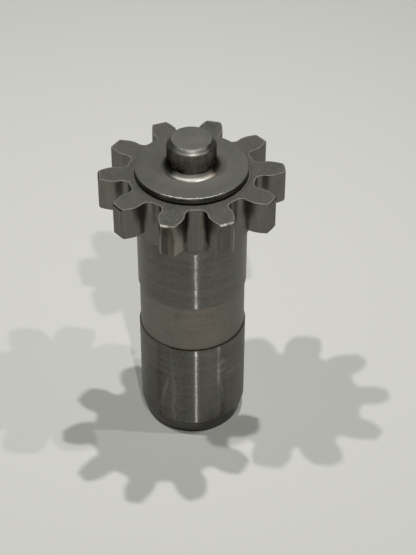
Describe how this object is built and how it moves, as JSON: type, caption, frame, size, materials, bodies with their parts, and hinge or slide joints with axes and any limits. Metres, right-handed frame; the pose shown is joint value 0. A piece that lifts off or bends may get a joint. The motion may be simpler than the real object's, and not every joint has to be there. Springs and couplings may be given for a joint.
{
  "type": "accessory drive gear",
  "caption": "Steel drive gear and shaft in one piece: a stub-tooth spur gear with a thrust collar and nose pin, above ground bearing journals with a relief band and a tapered lead end.",
  "frame": {"origin": "on the shaft's axis, at the flat face of the tapered lead end that it stands on", "axes": "+Z along the shaft's axis, from the lead end up to the nose pin; +X through the middle of one tooth"},
  "size_m": [0.042, 0.0406, 0.0793],
  "materials": {
    "ground_steel": "ground and satin, with fine turning lines"
  },
  "bodies": {
    "root": {"drive_gear": "ground_steel"}
  },
  "joints": []
}
